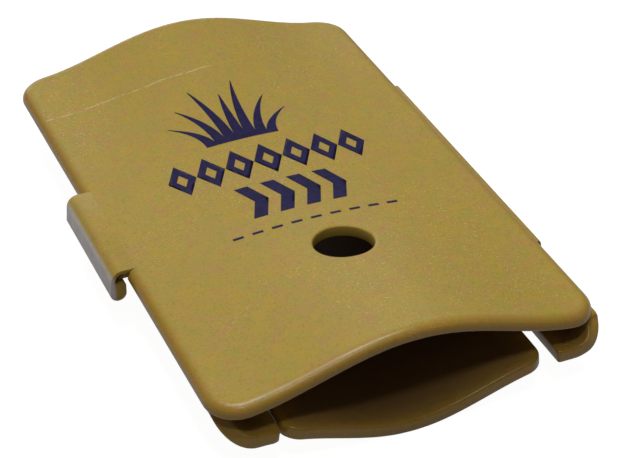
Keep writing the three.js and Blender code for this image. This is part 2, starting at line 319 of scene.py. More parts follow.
def within_plan(points, outline):
    """True for each point inside the first outline and outside the others."""
    keep = inside(points, outline[0])
    for loop in outline[1:]:
        keep &= ~inside(points, loop)
    return keep


def points_within(loops, extra, step):
    """Points inside the plan: rows that follow the roundings, a grid, and any extra points."""
    outline = [outline_of(edges) for edges in loops]
    radii = [[(e.upper, e.under) for e in edges for _ in e.points[:-1]] for edges in loops]
    lines = [e.points for edges in loops for e in edges]
    reach = [max(e.upper, e.under) for edges in loops for e in edges]
    near, depths = zip(*(inset_points(loop, r) for loop, r in zip(outline, radii)))
    near, depths = np.concatenate(near), np.concatenate(depths)
    gaps = np.stack([distance_to(near, line) for line in lines])
    near = near[gaps.min(0) > depths * 0.97 - 1e-4]
    field = grid_points(outline[0], step)
    gaps = np.stack([distance_to(field, line) - r for line, r in zip(lines, reach)])
    field = field[gaps.min(0) > 0.3 + 0.35 * step]
    more = np.array(extra, float).reshape(-1, 2)
    if len(more):
        more = more[np.stack([distance_to(more, line) for line in lines]).min(0) > 0.05]
        field = field[distance_between(field, more) > 0.45 * step]
    loose = np.concatenate([near, field, more])
    return loose[within_plan(loose, outline)]


def plate_faces(loops, extra, step):
    """Triangles over the plan inside the first loop and outside the others."""
    outline = [outline_of(edges) for edges in loops]
    points = np.concatenate([*outline, points_within(loops, extra, step)])
    links, first = [], 0
    for loop in outline:
        n = len(loop)
        links += [(first + k, first + (k + 1) % n) for k in range(n)]
        first += n
    found = delaunay_2d_cdt([Vector(p) for p in points], links, [], 0, 1e-6)
    verts = np.array([(v.x, v.y) for v in found[0]])
    place = {}
    for new, olds in enumerate(found[3]):
        for old in olds:
            place[old] = new
    faces = np.array([f for f in found[2] if len(f) == 3])
    faces = faces[within_plan(verts[faces].mean(1), outline)]
    rings, first = [], 0
    for loop in outline:
        rings.append([place[first + k] for k in range(len(loop))])
        first += len(loop)
    return verts, faces, rings


def distance_between(points, others):
    best = np.full(len(points), 1e9)
    for k in range(0, len(others), 500):
        gap = points[:, None, :] - others[None, k:k + 500, :]
        best = np.minimum(best, np.sqrt((gap ** 2).sum(2)).min(1))
    return best


def plate(name, loops, place, thickness=WALL, step=GRID_STEP, extra=(), carve=None):
    """A closed plate with rounded edges over a plan, bent by place(u, v, offset)."""
    verts, faces, rings = plate_faces(loops, extra, step)
    upper = np.full(len(verts), thickness)
    under = np.zeros(len(verts))
    depth = np.full(len(verts), 1e9)
    for edges in loops:
        for edge in edges:
            gap = distance_to(verts, edge.points)
            # Only flagged edges feed rim_depth, which drives painted shade near the rims and inside the
            # dish, and smoother wear near the rims.
            if edge.shaded_and_worn:
                depth = np.minimum(depth, gap)
            upper = np.minimum(upper, thickness - round_offset(gap, edge.upper))
            under = np.maximum(under, round_offset(gap, edge.under))
    if carve is not None:
        under = np.minimum(np.maximum(under, carve(verts[:, 0], verts[:, 1])), upper - 0.05)
    count = len(verts)
    u, v = verts[:, 0], verts[:, 1]
    points = np.concatenate([place(u, v, upper), place(u, v, under)])
    polygons = [tuple(f) for f in faces] + [(f[0] + count, f[2] + count, f[1] + count) for f in faces]
    for ring in rings:
        for k, a in enumerate(ring):
            b = ring[(k + 1) % len(ring)]
            polygons.append((a + count, b + count, b, a))
    obj = mesh_object(name, points, polygons)
    store(obj, "rim_depth", np.minimum(np.concatenate([depth, depth]), 9.0))
    store(obj, "upper_side", np.concatenate([np.ones(count), np.zeros(count)]))
    return obj


def mesh_object(name, points, polygons):
    mesh = bpy.data.meshes.new(name)
    in_metres = [tuple(float(c) * MM for c in p) for p in points]
    mesh.from_pydata(in_metres, [], [tuple(map(int, f)) for f in polygons])
    mesh.validate()
    bm = bmesh.new()
    bm.from_mesh(mesh)
    bmesh.ops.recalc_face_normals(bm, faces=bm.faces)
    crease = math.radians(CREASE_DEGREES)
    for face in bm.faces:
        face.smooth = True
    for edge in bm.edges:
        if len(edge.link_faces) == 2 and edge.calc_face_angle(0) > crease:
            edge.smooth = False
    bm.to_mesh(mesh)
    bm.free()
    obj = bpy.data.objects.new(name, mesh)
    bpy.context.scene.collection.objects.link(obj)
    return obj


def store(obj, name, values):
    layer = obj.data.attributes.new(name, "FLOAT", "POINT")
    layer.data.foreach_set("value", np.asarray(values, np.float32))


# ---------------------------------------------------------------- cover

def cover_plan():
    """The cover seen from above, anticlockwise from the front end of the latch notch."""
    w, h, r = HALF_WIDTH, HALF_LENGTH, PLAN_CORNER
    notch_front = LATCH_LOW[1] - LATCH_FIT
    notch_rear = LATCH_HIGH[1] + LATCH_FIT
    around = [(-w, notch_front)]
    around += arc(-w + r, -h + r, r, 180, 270)
    around += arc(w - r, -h + r, r, 270, 360)
    around += arc(w - r, h - r, r, 0, 90)
    around += arc(-w + r, h - r, r, 90, 180)
    around += [(-w, notch_rear)]
    return [
        Edge(around, COVER_TOP_ROUND, COVER_UNDER_ROUND),
        Edge([(-w, notch_rear), (LATCH_ROOT_X, notch_rear)]),
        Edge([(LATCH_ROOT_X, notch_rear), (LATCH_ROOT_X, notch_front)]),
        Edge([(LATCH_ROOT_X, notch_front), (-w, notch_front)]),
    ]


def tone_hole():
    rim = arc(HOLE_X, HOLE_Y, HOLE_RADIUS, 360, 0, 73)
    return [Edge(rim, HOLE_ROUND, HOLE_ROUND, 0.25, shaded_and_worn=False)]


def recess_rows():
    """Extra plan points that keep the step of the catch recess crisp."""
    rows = []
    front, rear = LATCH_LOW[1], LATCH_HIGH[1]
    for x in (RECESS_X - 0.04, RECESS_X + 0.04):
        rows += [(x, y) for y in np.arange(front, rear, 0.4)]
    return rows


def recess(x, y):
    deep = (x < RECESS_X) & (y > LATCH_LOW[1] - 0.01) & (y < LATCH_HIGH[1] + 0.01)
    return np.where(deep, RECESS_CEILING, 0.0)


def make_cover():
    obj = plate("cover_shell", [cover_plan(), tone_hole()], on_cover, extra=recess_rows(), carve=recess)
    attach(obj, "upper_half")
    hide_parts("cover")
    return obj


# ---------------------------------------------------------------- base and tongue

def base_plan():
    """The base unrolled, with the slits and the place of the tongue cut out of its front."""
    tongue_left, tongue_right = s_at(TONGUE_LOW[0]), s_at(TONGUE_HIGH[0])
    flap_left, flap_right = tongue_left - LEFT_SLIT, tongue_right + RIGHT_SLIT
    r = LEFT_FLAP_CORNER
    front = [(s, -base_end_y(s)) for s in np.linspace(0, flap_left - r, 60)]
    front += arc(flap_left - r, FRONT_Y + r, r, 270, 360)
    beside_band = tongue_left - LEFT_SLIT_AT_BAND
    left_slit = [(flap_left, FRONT_Y + r), (flap_left, LEFT_SLIT_WIDENS_Y[0])]
    left_slit += [(beside_band, LEFT_SLIT_WIDENS_Y[1]), (beside_band, SLIT_END_Y)]
    left_slit += [(tongue_left, SLIT_END_Y), (tongue_left, ROOT_Y)]
    root = [(tongue_left, ROOT_Y), (tongue_right, ROOT_Y)]
    right_slit = [(tongue_right, ROOT_Y), (tongue_right, SLIT_END_Y)]
    right_slit += [(flap_right, SLIT_END_Y), (flap_right, FRONT_Y)]
    rest = [(s, -base_end_y(s)) for s in np.linspace(flap_right, SECTION_END, 60)]
    side = base_end_y(SECTION_END)
    rear = [(s, base_end_y(s)) for s in np.linspace(SECTION_END, 0, 240)]
    first = base_end_y(0)
    return [
        Edge(front, TRAY_ROUND, TRAY_UNDER_ROUND, 0.3),
        *(Edge(left_slit[k:k + 2], SLIT_ROUND, SLIT_ROUND, 0.3) for k in range(4)),
        Edge(left_slit[4:6], 0, 0, 0.3),
        Edge(root, 0, 0),
        Edge(right_slit[0:2], 0, 0, 0.3),
        *(Edge(right_slit[k:k + 2], SLIT_ROUND, SLIT_ROUND, 0.3) for k in range(1, 3)),
        Edge(rest, TRAY_ROUND, TRAY_UNDER_ROUND, 0.3),
        Edge([(SECTION_END, -side), (SECTION_END, side)], SLIT_ROUND, TRAY_ROUND),
        Edge(rear, TRAY_ROUND, TRAY_ROUND),
        Edge([(0, first), (0, -first)], SLIT_ROUND, TRAY_ROUND),
    ]


def make_base():
    obj = plate("dished_base", [base_plan()], on_base)
    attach(obj, "lower_half")
    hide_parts("base_tray")
    return obj


def tongue_plan():
    left, right = s_at(TONGUE_LOW[0]), s_at(TONGUE_HIGH[0])
    r = TONGUE_CORNER
    around = [(left, ROOT_Y)]
    around += arc(left + r, FRONT_Y + r, r, 180, 270)
    around += arc(right - r, FRONT_Y + r, r, 270, 360)
    around += [(right, ROOT_Y)]
    return [
        Edge(around, TONGUE_ROUND, TONGUE_UNDER_ROUND, 0.34),
        Edge([(right, ROOT_Y), (left, ROOT_Y)]),
    ]


def seat(s, y):
    """Depth of the seat that the band's lower run lies in."""
    front, rear = BAND_LOW[1] - SEAT_MARGIN, BAND_HIGH[1] + SEAT_MARGIN
    return np.where((y > front) & (y < rear), SEAT_DEPTH, 0.0)


def seat_rows():
    rows = []
    left, right = s_at(TONGUE_LOW[0]), s_at(TONGUE_HIGH[0])
    front, rear = BAND_LOW[1] - SEAT_MARGIN, BAND_HIGH[1] + SEAT_MARGIN
    for y in (front - 0.03, front + 0.03, rear - 0.03, rear + 0.03):
        rows += [(s, y) for s in np.arange(left, right, 0.4)]
    return rows


def make_tongue():
    obj = plate("bite_tongue", [tongue_plan()], on_base, extra=seat_rows(), carve=seat)
    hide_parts("tongue")
    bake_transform(obj)
    return obj


# ---------------------------------------------------------------- swept pieces

BAR_RIM_DEPTH = 1.0


def bar(name, section, y0, y1, ease):
    """A section in X and Z swept along Y, with its end edges rounded."""
    mesh = bpy.data.meshes.new(name)
    bm = bmesh.new()
    front = [bm.verts.new((x * MM, y0 * MM, z * MM)) for x, z in section]
    face = bm.faces.new(front)
    grown = bmesh.ops.extrude_face_region(bm, geom=[face])
    moved = [g for g in grown["geom"] if isinstance(g, bmesh.types.BMVert)]
    bmesh.ops.translate(bm, verts=moved, vec=(0, (y1 - y0) * MM, 0))
    bmesh.ops.recalc_face_normals(bm, faces=bm.faces)
    ends = [e for e in bm.edges if abs(e.verts[0].co.y - e.verts[1].co.y) < 1e-9]
    bmesh.ops.bevel(
        bm, geom=ends, offset=ease * MM, segments=3, profile=0.5, affect="EDGES", clamp_overlap=True
    )
    bmesh.ops.triangulate(bm, faces=[f for f in bm.faces if len(f.verts) > 4])
    crease = math.radians(CREASE_DEGREES)
    for f in bm.faces:
        f.smooth = True
    for e in bm.edges:
        if len(e.link_faces) == 2 and e.calc_face_angle(0) > crease:
            e.smooth = False
    bm.to_mesh(mesh)
    bm.free()
    obj = bpy.data.objects.new(name, mesh)
    bpy.context.scene.collection.objects.link(obj)
    store(obj, "rim_depth", np.full(len(mesh.vertices), BAR_RIM_DEPTH))
    return obj


LATCH_THICK = 0.45
SHOULDER_RADIUS = 1.2
HOOK_TOP_Z = 6.35
HOOK_TIP_X = -19.2


def latch_section():
    top = SEAM_Z + WALL
    outer = LATCH_LOW[0] + 0.12
    sx, sz = outer + SHOULDER_RADIUS, top - SHOULDER_RADIUS
    foot_radius = (HOOK_TIP_X - LATCH_LOW[0]) / 2
    foot_x = (HOOK_TIP_X + LATCH_LOW[0]) / 2
    foot_z = LATCH_LOW[2] + foot_radius
    hook_z = HOOK_TOP_Z
    throat = 0.22
    points = [(LATCH_ROOT_X, top)]
    points += arc(sx, sz, SHOULDER_RADIUS, 90, 180, 14)
    points += arc(foot_x, foot_z, foot_radius, 180, 360, 22)
    points += arc(HOOK_TIP_X - throat, hook_z - throat, throat, 0, 90, 6)
    points += arc(outer + LATCH_THICK + throat, hook_z + throat, throat, 270, 180, 6)
    points += arc(sx, sz, SHOULDER_RADIUS - LATCH_THICK, 180, 90, 14)
    points += [(LATCH_ROOT_X, top - LATCH_THICK)]
    return points


def make_latch():
    obj = bar("latch_hook", latch_section(), LATCH_LOW[1], LATCH_HIGH[1], 0.09)
    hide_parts("latch_arm")
    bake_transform(obj)
    return obj


LEDGE_TOP = 7.2
LEDGE_UNDER = 6.5
LEDGE_FOOT_Z = 6.2
LEDGE_INNER_X = -17.7
LEDGE_SLOPE_X = -19.05
LEDGE_OUTER_X = -19.75
LEDGE_NOSE = 0.12
LEDGE_SINK = 0.4
LEDGE_END_CLEARANCE = 0.6


def make_catch():
    """The ledge on the base's left side that the latch hooks under."""
    sunk_x = BASE_LEFT + LEDGE_SINK
    section = [
        (sunk_x, LEDGE_FOOT_Z), (LEDGE_INNER_X, LEDGE_FOOT_Z), (LEDGE_INNER_X, LEDGE_TOP),
        (LEDGE_SLOPE_X, LEDGE_TOP), (LEDGE_OUTER_X, LEDGE_UNDER + LEDGE_NOSE),
        (LEDGE_OUTER_X, LEDGE_UNDER), (sunk_x, LEDGE_UNDER),
    ]
    front, rear = LATCH_LOW[1] + LEDGE_END_CLEARANCE, LATCH_HIGH[1] - LEDGE_END_CLEARANCE
    obj = bar("catch_ledge", section, front, rear, 0.08)
    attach(obj, "lower_half")
    return obj


FILM_SINK = 0.3
FILM_OUTSIDE_INSET = 0.15
FILM_THICKNESS = 0.32
FILM_BACK_OVERLAP = 0.02
FILM_SQUARENESS = 0.45


def film_bow(base_x, reach, half_height, middle_z, turns):
    """A squarish bow outwards, through the given turns in degrees."""
    bow = []
    for turn in turns:
        t = math.radians(turn)
        bow.append((base_x + reach * math.cos(t) ** FILM_SQUARENESS, middle_z + half_height * math.sin(t)))
    return bow


def make_film():
    """The film hinge: a thin web that bows out between the two right edges."""
    inner = HALF_WIDTH - FILM_SINK
    reach = HINGE_HIGH[0] - FILM_OUTSIDE_INSET - inner
    middle = (HINGE_LOW[2] + HINGE_HIGH[2]) / 2
    half = (HINGE_HIGH[2] - HINGE_LOW[2]) / 2
    outside = film_bow(inner, reach, half, middle, np.linspace(-90, 90, 17))
    back_x = inner - FILM_BACK_OVERLAP
    thin = FILM_THICKNESS
    back = film_bow(back_x, reach - thin, half - thin, middle, np.linspace(90, -90, 17))
    obj = bar("film_web", outside + back, HINGE_LOW[1], HINGE_HIGH[1], 0.07)
    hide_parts("film_hinge")
    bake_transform(obj)
    return obj


# ---------------------------------------------------------------- reed band

def band_path():
    """The middle of the latex, once round the tongue, with its corners eased."""
    thick = 0.3
    left, right = BAND_LOW[0] + thick / 2, BAND_HIGH[0] - thick / 2
    top = BAND_HIGH[2] - thick / 2
    lower = []
    for x in np.linspace(left + 0.3, right - 0.3, 60):
        s = s_at(x)
        p = on_base(np.array([s]), np.array([0.0]), np.array([0.25 + thick / 2]))[0]
        lower.append((p[0], p[2]))
    side_z = lower[0][1] + 0.2, lower[-1][1] + 0.2
    loop = lower + [(right, side_z[1]), (right, top - 0.3), (right - 0.3, top)]
    loop += [(x, top) for x in np.linspace(right - 1, left + 1, 40)]
    loop += [(left + 0.3, top), (left, top - 0.3), (left, side_z[0])]
    closed = np.array(loop + loop[:1])
    run = np.concatenate([[0], np.cumsum(np.hypot(*np.diff(closed, axis=0).T))])
    where = np.linspace(0, run[-1], 241)[:-1]
    path = np.stack([np.interp(where, run, closed[:, k]) for k in range(2)], 1)
    return path


def make_band():
    path = band_path()
    n = len(path)
    ahead = np.roll(path, -1, axis=0) - np.roll(path, 1, axis=0)
    ahead /= np.linalg.norm(ahead, axis=1)[:, None]
    normal = np.stack([ahead[:, 1], -ahead[:, 0]], 1)
    middle_y = (BAND_LOW[1] + BAND_HIGH[1]) / 2
    half = (BAND_HIGH[1] - BAND_LOW[1]) / 2
    top = path[:, 1] > BAND_HIGH[2] - 0.35
    stretch = np.where(top, 1 - (path[:, 0] / TONGUE_HIGH[0]) ** 2, 0)
    neck = 1 - 0.085 * np.clip(stretch, 0, 1)
    thick = 0.14
    across = [(-1.0, 0.0)]
    across += [
        (math.cos(math.radians(a)) * 0.02 - 0.98, math.sin(math.radians(a))) for a in (150, 120, 90)
    ]
    across += [(v, 1.0) for v in np.linspace(-0.9, 0.9, 13)]
    across += [
        (0.98 + math.cos(math.radians(a)) * 0.02, math.sin(math.radians(a))) for a in (90, 60, 30)
    ]
    across += [(1.0, 0.0)]
    across += [(v, -w) for v, w in across[-2:0:-1]]
    points, polygons, m = [], [], len(across)
    for k in range(n):
        for v, w in across:
            ripple = 0.018 * math.sin(3.1 * v + 0.4 * k)
            p = path[k] + normal[k] * (thick * w + (ripple if top[k] else 0))
            points.append((p[0], middle_y + half * neck[k] * v, p[1]))
    for k in range(n):
        for j in range(m):
            a, b = k * m + j, k * m + (j + 1) % m
            c, d = ((k + 1) % n) * m + (j + 1) % m, ((k + 1) % n) * m + j
            polygons.append((a, b, c, d))
    obj = mesh_object("latex_band", points, polygons)
    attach(obj, "bite_tongue")
    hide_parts("reed_band")
    return obj


# ---------------------------------------------------------------- print

INK_PROUD = 0.02


def on_cover_top(x, y, offset):
    return on_cover(x, y, WALL - 0.03 + offset)


def ink(name, shapes):
    """Flat printed shapes, each a list of plan points or a list of an outline and its holes."""
    parts = []
    for k, shape in enumerate(shapes):
        loops = shape if isinstance(shape[0], list) else [shape]
        edges = [[Edge([*loop, loop[0]], gap=0.4)] if len(loop) > 12 else
                 [Edge([loop[i], loop[(i + 1) % len(loop)]], gap=0.5) for i in range(len(loop))]
                 for loop in loops]
        parts.append(plate(f"{name}_{k}", edges, on_cover_top, thickness=0.03 + INK_PROUD, step=0.8))
    whole = parts[0]
    bm = bmesh.new()
    for part in parts:
        bm.from_mesh(part.data)
    bm.to_mesh(whole.data)
    bm.free()
    for part in parts[1:]:
        bpy.data.objects.remove(part)
    whole.name = name
    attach(whole, "upper_half")
    return whole


def diamond(x, y, w, h):
    return [(x - w, y), (x, y - h), (x + w, y), (x, y + h)]


def hollow_diamond(x, y, w, h, share):
    hole = diamond(x, y, w * share, h * share)
    return [diamond(x, y, w, h), hole[::-1]]


def chevron(x, y, w, h, arm):
    return [
        (x - w, y - h), (x - w + arm, y - h), (x + w, y),
        (x - w + arm, y + h), (x - w, y + h), (x + w - arm, y),
    ]


def blade(x, y, lean, height, half):
    """A curved, tapering grass blade, anticlockwise from its foot."""
    rise = np.linspace(0, 1, 12)
    middle = x + lean * rise ** 2
    wide = half * (1 - rise ** 1.6) + 0.03
    right = list(zip(middle + wide, y + height * rise))
    left = list(zip(middle - wide, y + height * rise))
    return right + left[::-1]


# Foot, lean and height of each blade of the printed tuft
GRASS = [
    (-4.4, -3.2, 4.8), (-3.3, -2.6, 7.3), (-2.2, -1.4, 9.8), (-1.1, 0.4, 8.2),
    (0.0, 1.3, 10.1), (1.1, 2.6, 6.8), (2.2, 3.0, 4.2),
]
DIAMOND_COUNT = 7
CHEVRON_COUNT = 4
DASH_COUNT = 9


def make_print():
    """A plain ornament in navy ink: a tuft of grass over rows of diamonds, chevrons and dashes."""
    pieces = [ink("print_grass_tuft", [blade(x, 8.3, lean, tall, 0.56) for x, lean, tall in GRASS])]
    row = [hollow_diamond(-9.2 + 3.05 * k, 4.15, 1.5, 2.7, 0.4) for k in range(DIAMOND_COUNT)]
    pieces.append(ink("print_diamond_row", row))
    bars = [chevron(-3.95 + 2.75 * k, -2.45, 1.3, 2.75, 1.45) for k in range(CHEVRON_COUNT)]
    pieces.append(ink("print_chevron_row", bars))
    dashes = []
    for k in range(DASH_COUNT):
        x = -7.8 + 2.0 * k
        dashes.append([(x - 0.55, -7.75), (x + 0.55, -7.75), (x + 0.55, -7.4), (x - 0.55, -7.4)])
    pieces.append(ink("print_dash_line", dashes))
    return pieces


# ---------------------------------------------------------------- materials

class Nodes:
    """A small helper that builds one node material."""

    def __init__(self, name):
        self.material = bpy.data.materials.new(name)
        self.material.use_nodes = True
        self.tree = self.material.node_tree
        self.shader = self.tree.nodes["Principled BSDF"]
        place = self.add("ShaderNodeTexCoord")
        scale = self.add("ShaderNodeMapping")
        scale.inputs["Scale"].default_value = (1 / MM,) * 3
        self.link(place.outputs["Object"], scale.inputs["Vector"])
        self.mm = scale.outputs["Vector"]

    def add(self, kind):
        return self.tree.nodes.new(kind)

    def link(self, a, b):
        self.tree.links.new(a, b)

    def noise(self, scale, detail=2.0, rough=0.5, vector=None, lift=0.0):
        node = self.add("ShaderNodeTexNoise")
        node.inputs["Scale"].default_value = scale
        node.inputs["Detail"].default_value = detail
        node.inputs["Roughness"].default_value = rough
        source = vector or self.mm
        if lift:
            shift = self.add("ShaderNodeVectorMath")
            shift.operation = "ADD"
            shift.inputs[1].default_value = (lift, 2 * lift, -lift)
            self.link(source, shift.inputs[0])
            source = shift.outputs[0]
        self.link(source, node.inputs["Vector"])
        return node.outputs["Fac"]

    def ranged(self, value, low, high, to_low=0.0, to_high=1.0):
        node = self.add("ShaderNodeMapRange")
        node.interpolation_type = "SMOOTHSTEP"
        self.feed(value, node.inputs["Value"])
        node.inputs["From Min"].default_value = low
        node.inputs["From Max"].default_value = high
        node.inputs["To Min"].default_value = to_low
        node.inputs["To Max"].default_value = to_high
        return node.outputs["Result"]

    def maths(self, kind, a, b=0.0):
        node = self.add("ShaderNodeMath")
        node.operation = kind
        self.feed(a, node.inputs[0])
        self.feed(b, node.inputs[1])
        return node.outputs[0]

    def feed(self, value, socket):
        if isinstance(value, (int, float)):
            socket.default_value = value
        else:
            self.link(value, socket)

    def mix(self, share, a, b):
        node = self.add("ShaderNodeMix")
        node.data_type = "RGBA"
        self.feed(share, node.inputs["Factor"])
        for value, socket in ((a, node.inputs[6]), (b, node.inputs[7])):
            if isinstance(value, tuple):
                socket.default_value = (*value, 1)
            else:
                self.link(value, socket)
        return node.outputs[2]

    def attribute(self, name):
        node = self.add("ShaderNodeAttribute")
        node.attribute_name = name
        return node.outputs["Fac"]

    def axis(self, letter):
        node = self.add("ShaderNodeSeparateXYZ")
        self.link(self.mm, node.inputs[0])
        return node.outputs[letter]

    def bump(self, height, distance, strength=1.0, under=None):
        node = self.add("ShaderNodeBump")
        node.inputs["Strength"].default_value = strength
        node.inputs["Distance"].default_value = distance
        self.link(height, node.inputs["Height"])
        if under is not None:
            self.link(under, node.inputs["Normal"])
        return node.outputs["Normal"]


def colour(r, g, b):
    """An sRGB colour in 0-255 as linear values."""
    def one(c):
        c /= 255
        return c / 12.92 if c <= 0.04045 else ((c + 0.055) / 1.055) ** 2.4
    return one(r), one(g), one(b)


TAN = colour(184, 157, 68)
TAN_WARM = colour(194, 142, 88)
TAN_GREEN = colour(158, 158, 62)
TAN_YELLOW = colour(194, 160, 42)
# TAN_BROWN serves both as fine dark specks in the pigment and as painted shade along the rims.
TAN_BROWN = colour(160, 106, 32)
TAN_PALE = colour(236, 222, 180)
# Painted shade colours for the dish's inside: reddish near the rim, darker brown further in.
SHADE_BROWN_INSIDE = colour(104, 78, 46)
SHADE_RED_INSIDE = colour(132, 88, 50)
# Painted reflection: pale white for the latch arm's outer wall.
SHEEN_WHITE = colour(240, 234, 228)


def moulding_nodes(name):
    """Tan moulded plastic: clouded pigment, fine flecks, pale specks, smoother rims, and painted shade
    browning the rims.
    """
    n = Nodes(name)
    cloud = n.ranged(n.noise(0.3, 3, 0.6), 0.38, 0.62, 0, 0.6)
    fleck = n.ranged(n.noise(0.75, 4, 0.75, lift=7.0), 0.40, 0.64, 0, 0.55)
    blush = n.ranged(n.noise(0.6, 4, 0.75, lift=17.0), 0.44, 0.68, 0, 0.6)
    fine = n.ranged(n.noise(3.2, 3, 0.8, lift=3.0), 0.42, 0.60, 0, 0.5)
    dark = n.ranged(n.noise(4.2, 3, 0.8, lift=23.0), 0.52, 0.66, 0, 0.5)
    base = n.mix(cloud, TAN, TAN_YELLOW)
    base = n.mix(fleck, base, TAN_GREEN)
    base = n.mix(blush, base, TAN_WARM)
    base = n.mix(fine, base, TAN)
    base = n.mix(dark, base, TAN_BROWN)
    speck = n.ranged(n.noise(5.5, 1, 0.5, lift=11.0), 0.66, 0.74)
    gather = n.ranged(n.noise(0.09, 2, 0.5, lift=5.0), 0.42, 0.62, 0, 0.6)
    base = n.mix(n.maths("MULTIPLY", speck, gather), base, TAN_PALE)
    depth = n.attribute("rim_depth")
    # Painted shade: the plastic is mixed towards TAN_BROWN within about a millimetre of the flagged rims.
    base = n.mix(n.ranged(depth, 0.1, 1.3, 0.45, 0.0), base, TAN_BROWN)
    rough = n.ranged(n.noise(0.8, 4, 0.6, lift=2.0), 0.3, 0.7, 0.40, 0.50)
    rough = n.maths("MULTIPLY", rough, n.ranged(depth, 0.0, 1.3, 0.62, 1.0))
    n.link(rough, n.shader.inputs["Roughness"])
    swell = n.bump(n.noise(0.35, 2, 0.5, lift=9.0), 0.00004, 0.5)
    grain = n.bump(n.noise(5.0, 3, 0.6, lift=13.0), 0.000014, 0.6, swell)
    n.link(grain, n.shader.inputs["Normal"])
    n.shader.inputs["Specular IOR Level"].default_value = 0.38
    return n, base


def moulding_material(name):
    n, base = moulding_nodes(name)
    n.link(base, n.shader.inputs["Base Color"])
    return n.material


def lower_material():
    """The moulding's plastic, with painted shade inside the dish: reddish, then darker brown further in
    from its rim.
    """
    n, base = moulding_nodes("tan_moulding_lower")
    inside = n.attribute("upper_side")
    uneven = n.ranged(n.noise(0.9, 3, 0.6, lift=41.0), 0.3, 0.7, -0.12, 0.12)
    depth = n.maths("ADD", n.attribute("rim_depth"), uneven)
    # Painted shade on the dish's upper side, growing with the distance in from the rim.
    red = n.maths("MULTIPLY", inside, n.ranged(depth, 0.2, 1.2, 0, 0.6))
    dark = n.maths("MULTIPLY", inside, n.ranged(depth, 0.6, 3.0, 0, 0.7))
    base = n.mix(red, base, SHADE_RED_INSIDE)
    base = n.mix(dark, base, SHADE_BROWN_INSIDE)
    n.link(base, n.shader.inputs["Base Color"])
    return n.material


def latch_material():
    """The moulding's plastic, with a painted reflection: pale white on the latch arm's lower outer wall.
    """
    n, base = moulding_nodes("tan_moulding_latch")
    out = n.ranged(n.axis("X"), SHEEN_FROM_X, SHEEN_TO_X, 1.0, 0.0)
    low = n.ranged(n.axis("Z"), SEAM_Z + 0.2, SEAM_Z + 1.0, 1.0, 0.0)
    patchy = n.ranged(n.noise(1.2, 3, 0.6, lift=43.0), 0.3, 0.6, 0.75, 1.0)
    # Painted reflection: the outer, lower part of the arm's wall is mixed towards pale white.
    base = n.mix(n.maths("MULTIPLY", n.maths("MULTIPLY", out, low), patchy), base, SHEEN_WHITE)
    n.link(base, n.shader.inputs["Base Color"])
    return n.material


# Where the painted reflection on the latch wall fades in, along x.
SHEEN_FROM_X = -20.5
SHEEN_TO_X = -20.1
SCRATCH_Y = 21.3
SCRATCH_LEFT = -18.0
SCRATCH_RIGHT = 1.5


def cover_material():
    """The moulding's plastic, with the faint broken line across the cover's rear left."""
    n, base = moulding_nodes("tan_moulding_cover")
    x, y = n.axis("X"), n.axis("Y")
    waver = n.ranged(n.noise(0.3, 2, 0.5, lift=31.0), 0.3, 0.7, -0.12, 0.12)
    away = n.maths("ABSOLUTE", n.maths("SUBTRACT", n.maths("ADD", y, waver), SCRATCH_Y))
    line = n.ranged(away, 0.03, 0.11, 1.0, 0.0)
    starts = n.ranged(x, SCRATCH_LEFT - 0.5, SCRATCH_LEFT)
    ends = n.ranged(x, SCRATCH_RIGHT - 3, SCRATCH_RIGHT, 1, 0)
    along = n.maths("MULTIPLY", starts, ends)
    broken = n.ranged(n.noise(1.4, 3, 0.7, lift=37.0), 0.36, 0.52)
    on_top = n.attribute("upper_side")
    mark = n.maths("MULTIPLY", n.maths("MULTIPLY", line, along), n.maths("MULTIPLY", broken, on_top))
    base = n.mix(n.maths("MULTIPLY", mark, 0.5), base, TAN_PALE)
    n.link(base, n.shader.inputs["Base Color"])
    return n.material


def ink_material():
    n = Nodes("navy_ink")
    wear = n.ranged(n.noise(3.5, 4, 0.65), 0.66, 0.74)
    cloud = n.ranged(n.noise(0.9, 3, 0.6, lift=4.0), 0.35, 0.65)
    tone = n.mix(cloud, colour(22, 17, 62), colour(34, 24, 76))
    tone = n.mix(n.maths("MULTIPLY", wear, 0.35), tone, colour(96, 82, 92))
    n.link(tone, n.shader.inputs["Base Color"])
    n.link(n.ranged(n.noise(2.0, 3, 0.6), 0.3, 0.7, 0.42, 0.6), n.shader.inputs["Roughness"])
    n.link(n.bump(n.noise(6.0, 3, 0.6), 0.00001, 0.5), n.shader.inputs["Normal"])
    n.shader.inputs["Specular IOR Level"].default_value = 0.2
    return n.material


def latex_material():
    n = Nodes("amber_latex")
    cloud = n.ranged(n.noise(0.5, 3, 0.6), 0.35, 0.65)
    tone = n.mix(cloud, colour(196, 158, 104), colour(214, 182, 132))
    tone = n.mix(n.ranged(n.noise(4.0, 3, 0.6, lift=3.0), 0.62, 0.72), tone, colour(228, 204, 160))
    n.link(tone, n.shader.inputs["Base Color"])
    n.link(n.ranged(n.noise(1.6, 3, 0.6, lift=6.0), 0.3, 0.7, 0.34, 0.5), n.shader.inputs["Roughness"])
    stretch = n.add("ShaderNodeMapping")
    stretch.inputs["Scale"].default_value = (0.35, 6.0, 0.35)
    n.link(n.mm, stretch.inputs["Vector"])
    streaks = n.noise(1.0, 2, 0.5, vector=stretch.outputs["Vector"])
    n.link(n.bump(streaks, 0.00002, 0.5), n.shader.inputs["Normal"])
    n.shader.inputs["Subsurface Weight"].default_value = 0.35
    n.shader.inputs["Subsurface Radius"].default_value = (0.0012, 0.0007, 0.0004)
    n.shader.inputs["Subsurface Scale"].default_value = 1.0
    return n.material


def paint(obj, material):
    obj.data.materials.clear()
    obj.data.materials.append(material)


# ---------------------------------------------------------------- scene

CAMERA_AZIMUTH = -0.4083
CAMERA_ELEVATION = 0.6090
CAMERA_ROLL = 0.0020
CAMERA_DISTANCE = 192.48
AIM = (0.0, 0.05, 6.5)
SLIDE_RIGHT = -2.835
SLIDE_UP = 3.197
LENS = 110.38


